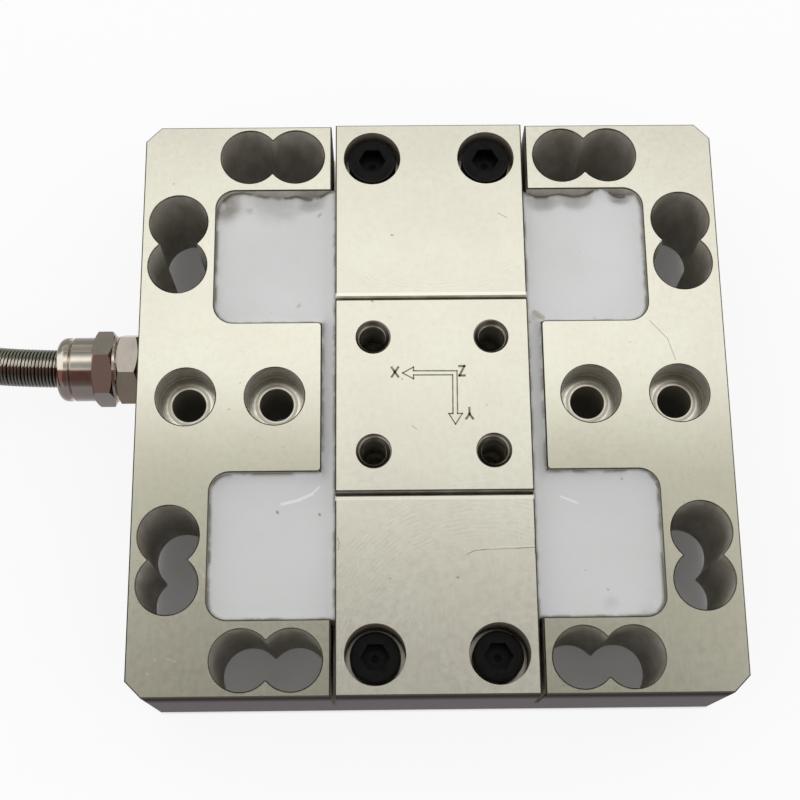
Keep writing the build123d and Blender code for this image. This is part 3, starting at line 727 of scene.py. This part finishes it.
def spring_steel():
    """Drawn spring wire, yellowed in patches, with dark painted shade along its front, back and low side that
    leaves a painted bright band along its top.
    """
    material, tree, shader, place = new_material("spring_steel", metallic=1.0)
    fine = grain(tree, place, 4200.0)
    lean_reflection = use_group(tree, LEAN_REFLECTION, wiped_front=-0.24, wiped_back=0.12)
    drawn = blend(tree, soiled(tree, place, 260.0), (0.62, 0.57, 0.49, 1.0), (0.44, 0.40, 0.34, 1.0))
    # Painted shade along the front, low side and back of the wire
    drawn = blend(tree, lean_reflection["Front"], drawn, (0.075, 0.045, 0.038, 1.0))
    drawn = blend(tree, lean_reflection["Low"], drawn, (0.105, 0.10, 0.085, 1.0))
    drawn = blend(tree, lean_reflection["Back"], drawn, (0.12, 0.12, 0.095, 1.0))
    feed(tree, shader, base_color=drawn, roughness=remap(tree, fine, 0.3, 0.7, 0.16, 0.26),
         normal=bump(tree, fine, 0.1, 0.00002))
    return material


def gauge_foil():
    """Strain gauge: amber film with a copper-nickel grid of fine lines."""
    material, tree, shader, place = new_material("gauge_foil", roughness=0.35)
    lines = waves(tree, place, 900.0, 0.4)
    colour = blend(tree, remap(tree, lines, 0.4, 0.6), (0.45, 0.22, 0.06, 1.0), (0.62, 0.50, 0.36, 1.0))
    feed(tree, shader, base_color=colour, normal=bump(tree, lines, 0.2, 0.00002))
    return material


def wires():
    """Bundle of coloured cores, twisted round one another."""
    material, tree, shader, place = new_material("wire_colours", roughness=0.45)
    ramp = waves(tree, place, 160.0, 1.5)
    colour = blend(tree, remap(tree, ramp, 0.30, 0.36), (0.55, 0.04, 0.03, 1.0), (0.03, 0.10, 0.38, 1.0))
    colour = blend(tree, remap(tree, ramp, 0.62, 0.68), colour, (0.62, 0.60, 0.55, 1.0))
    feed(tree, shader, base_color=colour, normal=bump(tree, ramp, 0.3, 0.0001))
    return material


def board():
    """Terminal board: green lacquer with rows of tinned pads."""
    material, tree, shader, place = new_material("terminal_board", roughness=0.38)
    dots = shader_node(tree, "ShaderNodeTexVoronoi", {"Vector": place, "Scale": 420.0, "Randomness": 0.0})
    pads = remap(tree, dots.outputs["Distance"], 0.34, 0.28)
    colour = blend(tree, pads, (0.02, 0.13, 0.05, 1.0), (0.66, 0.66, 0.62, 1.0))
    feed(tree, shader, base_color=colour, metallic=pads, normal=bump(tree, pads, 0.3, 0.00005))
    return material


steel_frame = steel_body("wire_cut_steel", 0.18, scratches=FRAME_SCRATCHES, turned_x=FIXING_HOLES,
                         front_shaded=True)
steel_beam = steel_body("ground_beam_steel", 0.20, arcs=BEAM_ARCS, scratches=BEAM_SCRATCHES,
                        tapped=TAPPED_HOLES, seams=SEAM_HIGHLIGHT_BAND)
oxide = black_oxide()
# Nickel colours: clean is a painted bright reflection; front, low side, back and the flats are painted darker
# reflections and shade
nickel_body = plated("gland_nickel_body", 0.16, 0.24, clean=(0.90, 0.82, 0.71, 1.0),
                     front=(0.50, 0.43, 0.36, 1.0), low_painted_shade=(0.13, 0.11, 0.082, 1.0),
                     back=(0.30, 0.28, 0.22, 1.0))
nickel_nut = plated("gland_nickel_nut", 0.10, 0.16, clean=(0.86, 0.80, 0.71, 1.0),
                    front=(0.15, 0.058, 0.045, 1.0), low_painted_shade=(0.165, 0.145, 0.14, 1.0),
                    back=(0.145, 0.138, 0.112, 1.0),
                    flats=((0.30, 0.19, 0.155, 1.0), (0.085, 0.072, 0.072, 1.0)))
rubber = plain_mottled("gland_rubber", (0.02, 0.02, 0.02, 1.0), (0.04, 0.038, 0.035, 1.0), 300.0, 0.62)
potting = silicone()
cable_black = jacket()
spring_wire = spring_steel()
foil = gauge_foil()
core_colours = wires()
green_board = board()
shrink_sleeve = plain_mottled("shrink_sleeve", (0.012, 0.012, 0.013, 1.0), (0.03, 0.03, 0.03, 1.0), 240.0,
                              0.36)
tinned = plain_mottled("tinned_copper", (0.72, 0.70, 0.66, 1.0), (0.55, 0.53, 0.50, 1.0), 500.0, 0.35,
                       metallic=1.0)
engraving = plain_mottled("engraved_lines", (0.13, 0.12, 0.09, 1.0), (0.30, 0.27, 0.20, 1.0), 700.0, 0.6)

NODE_FINISHES = {
    "sensor_frame": steel_frame, "z_beam": steel_beam, "gland_seal_ring": rubber, "gland_bush": rubber,
    "gland_body": nickel_body, "gland_nut": nickel_nut, "core_bundle": core_colours,
    "cap_screw": oxide, "x_gauges": foil, "y_gauges": foil, "z_gauges": foil, "gauge_coat": potting,
    "terminal_board": green_board, "wire_loom": core_colours,
}


def finish_nodes():
    """Gives each piece of the frame its finish by its name, or by how its name starts."""
    for name, piece in nodes.items():
        for start, material in NODE_FINISHES.items():
            if name == start or name.startswith(start + "_"):
                for slot in piece.material_slots:
                    slot.material = material


# Cable: one curve through the route's points and the stored turns


def coil_course():
    """Where each stretch of the stored turns ends: degrees wound, ring radius and height.

    The first layer winds inwards, the second outwards and the third inwards again."""
    course = [(0.0, OUTER_RING, FIRST_LAYER)]

    def wind(degrees, inwards=0.0, upwards=0.0):
        turned, radius, height = course[-1]
        course.append((turned + degrees, radius - inwards, height + upwards))

    def rings(count, hold, inwards):
        for _ in range(count):
            wind(hold)
            wind(90.0, inwards)

    step = CABLE_DIAMETER
    rings(4, 270.0, step)
    wind(210.0)
    wind(60.0, upwards=step)
    wind(210.0)
    wind(90.0, -step)
    rings(3, 270.0, -step)
    wind(240.0)
    wind(30.0, upwards=step)
    wind(240.0)
    wind(90.0, step)
    rings(3, 270.0, step)
    wind(120.0)
    wind(30.0, TAIL_LIFT, TAIL_LIFT)
    wind(30.0)
    return course


def around_coil(degrees, radius, height):
    heading = radians(90.0 + degrees)
    return Vector((COIL_CENTRE[0] + radius * cos(heading), COIL_CENTRE[1] + radius * sin(heading), height))


def coil_points():
    """Control points of the stored turns, set out a little so that the curve keeps its rings."""
    course = coil_course()
    step = 360.0 / POINTS_PER_TURN
    set_out = 1.0 / cos(radians(step / 2))
    points = []
    turned = step / 2
    stretch = 0
    while turned < course[-1][0]:
        while turned > course[stretch + 1][0]:
            stretch += 1
        (start, radius, height), (end, next_radius, next_height) = course[stretch:stretch + 2]
        share = (turned - start) / (end - start)
        ring = radius + (next_radius - radius) * share
        points.append(around_coil(turned, ring * set_out, height + (next_height - height) * share))
        turned += step
    points.append(around_coil(*course[-1]))
    return points


def nurbs_curve(name, splines, radius, sides, along):
    """A round curve of one or more smooth splines, from points in millimetres."""
    curve = bpy.data.curves.new(name, "CURVE")
    curve.dimensions = "3D"
    curve.bevel_depth = radius * MM
    curve.bevel_resolution = sides
    curve.resolution_u = along
    curve.use_fill_caps = True
    for points in splines:
        spline = curve.splines.new("NURBS")
        spline.points.add(len(points) - 1)
        for place, point in zip(spline.points, points):
            place.co = (*(Vector(point) * MM), 1.0)
        spline.order_u = 3
        spline.use_endpoint_u = True
    return curve


def add_cable():
    route = LEAD_POINTS + [tuple(point) for point in coil_points()]
    cable = link("cable", nurbs_curve("cable", [route], CABLE_DIAMETER / 2, 5, 8), cable_black)
    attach(cable, "root")
    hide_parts("cable_lead", "cable_coil")
    return cable


def centre_line(curve_object):
    """Points read from a curve's own line, in millimetres."""
    bare = curve_object.data.copy()
    bare.bevel_depth = 0.0
    copy = bpy.data.objects.new("line", bare)
    bpy.context.scene.collection.objects.link(copy)
    line = bpy.data.meshes.new_from_object(copy.evaluated_get(bpy.context.evaluated_depsgraph_get()))
    points = [vertex.co / MM for vertex in line.vertices]
    bpy.data.objects.remove(copy)
    bpy.data.curves.remove(bare)
    bpy.data.meshes.remove(line)
    return points


def add_spring(cable):
    """Close-wound spring: a helix of wire round the cable's own line."""
    line = centre_line(cable)
    line = line[:next(i for i, point in enumerate(line) if point.x < SPRING_END - SPRING_MARGIN)]
    radius = (SPRING_RADIUS - SPRING_WIRE / 2) / cos(pi / SPRING_SIDES)
    helix = []
    wound = 0.0
    for before, after in zip(line, line[1:]):
        along = (after - before).normalized()
        side = along.cross(Vector((0.0, 0.0, 1.0))).normalized()
        up = side.cross(along)
        length = (after - before).length
        pieces = max(1, round(length / SPRING_PITCH * SPRING_SIDES))
        for k in range(pieces):
            middle = before.lerp(after, k / pieces)
            wound += 2 * pi / SPRING_SIDES * length / pieces / (SPRING_PITCH / SPRING_SIDES)
            if SPRING_END <= middle.x <= SPRING_START:
                helix.append(middle + side * radius * cos(wound) + up * radius * sin(wound))
    spring = link("spring_wire", nurbs_curve("spring_wire", [helix], SPRING_WIRE / 2, 2, 2), spring_wire)
    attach(spring, "root")
    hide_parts("spring_guard")
    return spring


def add_sleeve():
    """Shrink sleeve over the cable's end, a little pulled in at both ends."""
    bm = bmesh.new()
    rings = []
    for turned, radius in SLEEVE_STATIONS:
        ring = bmesh.ops.create_circle(bm, segments=SLEEVE_SIDES, radius=radius)["verts"]
        heading = radians(90.0 + SLEEVE_START + turned)
        turn = Matrix.Rotation(heading, 4, "Z") @ Matrix.Rotation(pi / 2, 4, "X")
        centre = around_coil(SLEEVE_START + turned, TAIL_RADIUS, TAIL_HEIGHT)
        bmesh.ops.transform(bm, matrix=Matrix.Translation(centre) @ turn, verts=ring)
        rings.append([edge for edge in bm.edges if edge.verts[0] in ring and edge.verts[1] in ring])
    for one, other in zip(rings, rings[1:]):
        bmesh.ops.bridge_loops(bm, edges=one + other)
    bmesh.ops.holes_fill(bm, edges=rings[-1], sides=SLEEVE_SIDES)
    sleeve = to_mesh(bm, "shrink_sleeve", shrink_sleeve)
    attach(sleeve, "root")
    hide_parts("cable_sleeve")
    return sleeve


CORE_COLOURS = {
    "red": (0.50, 0.02, 0.02, 1.0), "black": (0.015, 0.015, 0.015, 1.0), "green": (0.02, 0.22, 0.05, 1.0),
    "white": (0.72, 0.72, 0.70, 1.0), "yellow": (0.70, 0.50, 0.02, 1.0), "blue": (0.02, 0.07, 0.36, 1.0),
    "brown": (0.14, 0.05, 0.02, 1.0), "grey": (0.25, 0.25, 0.25, 1.0),
}


def add_cores():
    """Eight coloured cores that leave the sleeve, spread a little and end in tinned tips."""
    covered = []
    bare = []
    last = len(CORE_COLOURS) - 1
    for number in range(last + 1):
        turn = 2 * pi * number / last
        reach = 0.0 if number == last else CORE_SPREAD
        out, up = reach * cos(turn), reach * sin(turn)
        points = []
        for step in range(CORE_STEPS + 1):
            share = step / CORE_STEPS
            turned = SLEEVE_END - 3.0 + (CORES_END - SLEEVE_END) * share - 2.4 * (number % 3) * share
            sway = 0.25 * sin(2.1 * number + 5.0 * share) * share
            opened = 0.62 + 0.38 * share
            points.append(around_coil(turned, TAIL_RADIUS + out * opened + sway,
                                      TAIL_HEIGHT + up * opened + 0.2 * sway))
        covered.append(points[:-1])
        before, edge, end = points[-3:]
        bare.append([edge.lerp(before, 0.12), edge.lerp(end, 0.5), end])
    curve = nurbs_curve("cable_core_ends", covered, CORE_RADIUS, 3, 6)
    cores = link("cable_core_ends", curve)
    for number, (colour, value) in enumerate(CORE_COLOURS.items()):
        shade = tuple(0.7 * part for part in value[:3]) + (1.0,)
        curve.materials.append(plain_mottled(f"core_{colour}", value, shade, 300.0, 0.4))
        curve.splines[number].material_index = number
    tips = link("tinned_tips", nurbs_curve("tinned_tips", bare, TIP_RADIUS, 3, 4), tinned)
    for piece in (cores, tips):
        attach(piece, "root")
    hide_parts("cable_cores")
    return cores, tips


# Silicone in the pockets

# Places in each pocket where the silicone stands off its level: x, y, reach, rise
RISES = {
    "potting_left": [(-43.0, 43.0, 4.5, -1.3), (-31.5, 45.0, 9.0, -2.6), (-24.5, 45.0, 4.5, -2.2),
                     (-21.0, 44.6, 2.4, 0.9), (-27.8, 44.6, 1.6, 0.7)],
    "potting_right": [(24.0, 45.2, 5.5, -3.0), (31.0, 45.2, 5.0, -3.0), (35.4, 44.9, 1.7, 0.9),
                      (40.5, 45.2, 3.6, -2.8), (21.3, 17.4, 0.9, 0.8), (38.6, -16.9, 1.4, 0.5)],
}
# Stained places: x, y, reach, strength
STAINS = {
    "potting_left": [(-43.0, 42.0, 5.0, 0.75), (-33.9, 39.2, 0.40, 0.5), (-23.1, 40.5, 0.55, 0.9),
                     (-28.0, 30.1, 0.40, 0.7), (-27.5, 19.9, 0.45, 0.7), (-38.0, 41.5, 0.9, 0.7)],
    "potting_right": [(21.5, 17.3, 1.1, 0.9), (34.0, -42.6, 2.2, 0.28), (41.0, -44.4, 2.6, 0.30),
                      (30.0, 33.0, 0.35, 0.5), (37.0, -28.0, 0.35, 0.4)],
}


def near(x, y, place_x, place_y, reach):
    """From 1 at a place to 0 at its reach."""
    away = hypot(x - place_x, y - place_y) / reach
    return 0.0 if away >= 1.0 else (1.0 - away * away) ** 2


def uneven(x, y, scale, layer):
    return noise.noise(Vector((x * scale, y * scale, layer)))


def add_silicone(name):
    """Poured silicone of one side: a fine sheet shaped by its walls, with depth and a flat underside."""
    low, high = (Vector(corner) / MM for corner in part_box(name))
    hand = 1.0 if low.x > 0 else -1.0
    beam_side, pocket_side = sorted((abs(low.x), abs(high.x)))
    frame_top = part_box("sensor_frame")[1].z / MM
    bm = bmesh.new()
    bmesh.ops.create_grid(bm, x_segments=round((pocket_side - beam_side) / SILICONE_CELL),
                          y_segments=round((high.y - low.y) / SILICONE_CELL), size=0.5)
    size = Matrix.Diagonal((pocket_side - beam_side, high.y - low.y, 1.0, 1.0))
    middle = Matrix.Translation((hand * (beam_side + pocket_side) / 2, 0, high.z))
    bmesh.ops.transform(bm, matrix=middle @ size, verts=bm.verts)
    for place, way in (((hand * LUG_SIDE, 0, 0), (1, 0, 0)), ((0, LUG_REACH, 0), (0, 1, 0)),
                       ((0, -LUG_REACH, 0), (0, 1, 0))):
        bmesh.ops.bisect_plane(bm, geom=bm.verts[:] + bm.edges[:] + bm.faces[:], dist=0.02, plane_co=place,
                               plane_no=way)
    covered = [face for face in bm.faces if abs(face.calc_center_median().y) < LUG_REACH
               and abs(face.calc_center_median().x) > LUG_SIDE]
    bmesh.ops.delete(bm, geom=covered, context="FACES")
    corner_x = pocket_side - POCKET_ROUND
    corners = ((high.y - POCKET_ROUND, 1.0), (LUG_REACH + POCKET_ROUND, -1.0))
    for vertex in bm.verts:
        x, y = abs(vertex.co.x), abs(vertex.co.y)
        for corner_y, way in corners:
            beyond = (y - corner_y) * way
            if x > corner_x and beyond > 0:
                away = hypot(x - corner_x, beyond)
                pull = max(x - corner_x, beyond) / away
                vertex.co.x = hand * (corner_x + (x - corner_x) * pull)
                vertex.co.y = (1.0 if vertex.co.y > 0 else -1.0) * (corner_y + beyond * pull * way)
    edge_layer = bm.verts.layers.float.new("edge")
    stain_layer = bm.verts.layers.float.new("stain")
    for vertex in bm.verts:
        x, y = vertex.co.x, vertex.co.y
        to_beam = abs(x) - beam_side
        if abs(y) < LUG_REACH:
            to_wall = min(to_beam, LUG_SIDE - abs(x))
        else:
            to_outer = min(pocket_side - abs(x), high.y - abs(y))
            for corner_y, way in corners:
                beyond = (abs(y) - corner_y) * way
                if abs(x) > corner_x and beyond > 0:
                    to_outer = min(to_outer, POCKET_ROUND - hypot(abs(x) - corner_x, beyond))
            to_lug = hypot(max(LUG_SIDE - abs(x), 0.0), abs(y) - LUG_REACH)
            to_wall = min(to_beam, to_outer, to_lug)
        to_wall = max(to_wall, 0.0)
        meniscus = MENISCUS_RISE * (1.0 - min(to_wall / MENISCUS_REACH, 1.0)) ** 2
        swell = SWELL * uneven(x, y, 0.06, 4.0 * hand)
        ripple = RIPPLE * uneven(x, y, 0.5, 9.0)
        sag = -SAG * min(to_wall / SAG_REACH, 1.0)
        lift = sum(rise * near(x, y, px, py, reach) for px, py, reach, rise in RISES[name])
        torn = TORN * uneven(x, y, 0.9, 2.0) * min(1.0, abs(lift))
        vertex.co.z = min(high.z + meniscus + swell + ripple + sag + lift + torn, frame_top - UNDER_FRAME_TOP)
        vertex[edge_layer] = max(0.0, 1.0 - to_wall / EDGE_REACH)
        darkening = sum(strength * near(x, y, px, py, reach) for px, py, reach, strength in STAINS[name])
        vertex[stain_layer] = min(1.0, darkening)
    under = bmesh.ops.extrude_face_region(bm, geom=bm.faces[:])
    for vertex in [item for item in under["geom"] if isinstance(item, bmesh.types.BMVert)]:
        vertex.co.z = low.z
    piece = to_mesh(bm, name.replace("potting", "silicone"), potting)
    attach(piece, "root")
    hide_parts(name)


# Engraved axis mark on the platform, in millimetres
LINE_WIDTH = 0.27
ENGRAVED_GAP = 0.02
ARROW_OUTLINE = [
    (-6.09, 4.26), (-3.88, 5.50), (-3.88, 4.70), (4.92, 4.63), (4.84, -4.37), (5.80, -4.37), (4.38, -6.59),
    (3.10, -4.37), (3.92, -4.37), (4.02, 3.78), (-3.88, 3.82), (-3.88, 3.00), (-6.09, 4.26),
]
LETTER_WIDTH = 0.46
LETTER_STROKES = [
    [(-8.28, 3.50), (-7.00, 5.44)], [(-8.28, 5.44), (-7.00, 3.50)],
    [(5.40, 5.62), (6.44, 5.62), (5.40, 3.62), (6.44, 3.62)],
    [(7.90, -5.44), (7.24, -4.45), (6.58, -5.44)], [(7.24, -4.45), (7.24, -3.25)],
]


def add_axis_mark():
    """Generic axis arrows and letters, as thin dark lines that lie on the platform."""
    bm = bmesh.new()
    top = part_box("z_beam")[1].z / MM + ENGRAVED_GAP
    for stroke in [ARROW_OUTLINE] + LETTER_STROKES:
        width = LINE_WIDTH if stroke is ARROW_OUTLINE else LETTER_WIDTH
        for begin, finish in zip(stroke, stroke[1:]):
            begin, finish = Vector((*begin, 0.0)), Vector((*finish, 0.0))
            along = finish - begin
            bar = bmesh.ops.create_grid(bm, x_segments=1, y_segments=1, size=0.5)["verts"]
            size = Matrix.Diagonal((along.length + width, width, 1.0, 1.0))
            turn = Matrix.Rotation(atan2(along.y, along.x), 4, "Z")
            middle = (begin + finish) / 2
            move = Matrix.Translation((middle.x, middle.y, top))
            bmesh.ops.transform(bm, matrix=move @ turn @ size, verts=bar)
    mark = to_mesh(bm, "axis_mark", engraving, smooth=False)
    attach(mark, "root")


# Studio: pale floor, white surround and soft light

FLOOR_PAPER = (0.975, 0.975, 0.975, 1.0)
FLOOR_HALF = 1.2
# Share of plain white under the part and outside its footprint
FLOOR_SEEN_BELOW = 0.055
SHADOW_SOFTNESS = 0.87
FOOTPRINT = 0.0595
# Where the floor turns fully white, in metres from the middle
NEAR_REACH = 0.088
FAR_REACH = 0.18


def add_floor():
    """Pale floor that keeps the shadow close by and turns to plain white further out."""
    bm = bmesh.new()
    bmesh.ops.create_grid(bm, x_segments=8, y_segments=8, size=FLOOR_HALF)
    data = bpy.data.meshes.new("floor")
    bm.to_mesh(data)
    bm.free()
    material, tree, shader, place = new_material("floor_paper", roughness=0.9, base_color=FLOOR_PAPER)
    paths = tree.nodes.new("ShaderNodeLightPath").outputs
    seen = plus(tree, paths["Is Camera Ray"],
                plus(tree, paths["Is Glossy Ray"], paths["Is Transmission Ray"]), clamp=True)
    reach = use_group(tree, OUTWARD, place=place)["Reach"]
    open_floor = remap(tree, reach, FOOTPRINT, FOOTPRINT + MM, FLOOR_SEEN_BELOW, SHADOW_SOFTNESS)
    far_off = remap(tree, vector_maths(tree, "LENGTH", place), NEAR_REACH, FAR_REACH)
    share = times(tree, seen, maths(tree, "MAXIMUM", open_floor, far_off))
    white = shader_node(tree, "ShaderNodeEmission", {"Color": (1.0, 1.0, 1.0, 1.0), "Strength": 1.0})
    surface = shader_node(tree, "ShaderNodeMixShader", {0: share, 1: shader.outputs[0], 2: white.outputs[0]})
    tree.links.new(surface.outputs[0], tree.nodes["Material Output"].inputs["Surface"])
    floor = link("floor", data, material)


SKY_COLOUR = (1.0, 0.995, 0.985, 1.0)
PLAIN_LEVEL = 1.04
# Dimmer and brighter zones of the surround: way, edge and core as cosines, change of level
SKY_ZONES = [
    ((0.0, -0.06, 1.0), 0.925, 0.980, -0.72),
    ((0.0, 0.36, 0.933), 0.970, 0.997, 0.29),
    ((0.0, -0.78, 0.626), 0.80, 0.92, -0.60),
    ((0.0, 0.80, 0.60), 0.832, 0.96, -0.62),
]


def add_world():
    """Soft surround: dim straight above, in front and at the back, and brightest just behind the top."""
    world = bpy.data.worlds.new("studio")
    bpy.context.scene.world = world
    world.use_nodes = True
    tree = world.node_tree
    tree.nodes.clear()
    way = tree.nodes.new("ShaderNodeTexCoord").outputs["Generated"]
    light = PLAIN_LEVEL
    for centre, edge, core, change in SKY_ZONES:
        towards = vector_maths(tree, "DOT_PRODUCT", way, Vector(centre).normalized())
        light = plus(tree, light, remap(tree, towards, edge, core, 0.0, change))
    soft = shader_node(tree, "ShaderNodeBackground", {"Color": SKY_COLOUR, "Strength": light})
    output = tree.nodes.new("ShaderNodeOutputWorld")
    tree.links.new(soft.outputs[0], output.inputs["Surface"])


def add_lamp(name, place, target, size, watts):
    lamp = bpy.data.lights.new(name, "AREA")
    lamp.shape = "RECTANGLE"
    lamp.size, lamp.size_y = size
    lamp.energy = watts
    holder = bpy.data.objects.new(name, lamp)
    bpy.context.scene.collection.objects.link(holder)
    holder.location = place
    holder.rotation_mode = "QUATERNION"
    holder.rotation_quaternion = (Vector(target) - Vector(place)).to_track_quat("-Z", "Y")


bpy.context.scene.view_settings.view_transform = "Standard"
add_camera()
cable = add_cable()
spring = add_spring(cable)
sleeve = add_sleeve()
cores, tips = add_cores()
finish_nodes()
add_silicone("potting_left")
add_silicone("potting_right")
add_axis_mark()
add_floor()
add_world()
add_lamp("key", (-0.30, 1.10, 0.48), (0.0, 0.0, 0.02), (1.1, 0.7), 2.4)
